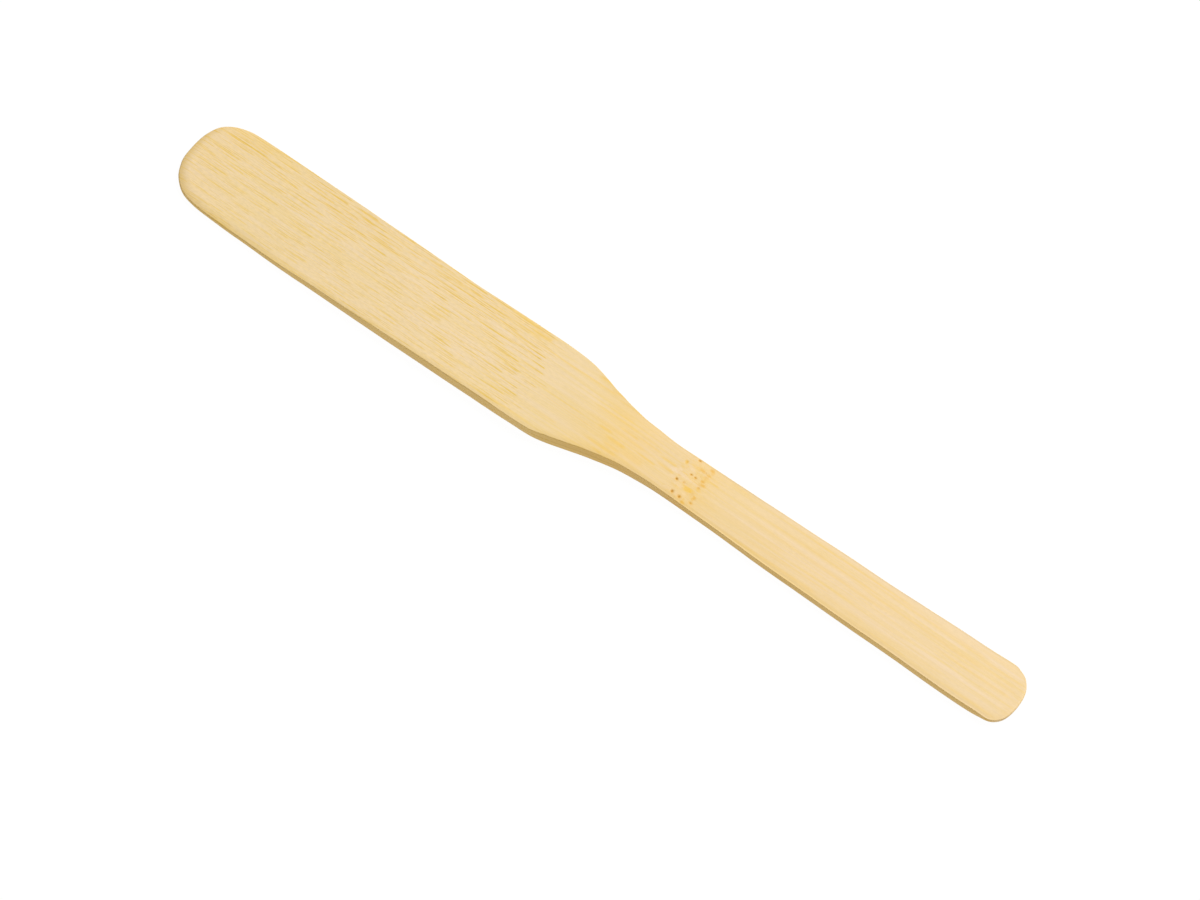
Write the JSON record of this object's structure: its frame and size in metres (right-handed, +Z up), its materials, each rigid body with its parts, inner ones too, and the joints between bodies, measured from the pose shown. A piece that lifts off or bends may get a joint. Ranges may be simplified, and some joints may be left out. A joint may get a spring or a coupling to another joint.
{
  "type": "bamboo folder",
  "caption": "Flat solid-bamboo folding and scoring tool with a rounded, thinned blade, sloping shoulders, a narrow neck and a slim flat handle.",
  "frame": {"origin": "centre of the bounding box on the flat underside", "axes": "+X from the blade tip to the handle end, +Y across the width, +Z up out of the top face"},
  "size_m": [0.2, 0.0204, 0.0036],
  "materials": {
    "bamboo": "sanded bare bamboo, satin, with fine fibre dashes along the length"
  },
  "bodies": {
    "root": {"folder_body": "bamboo"}
  },
  "joints": []
}
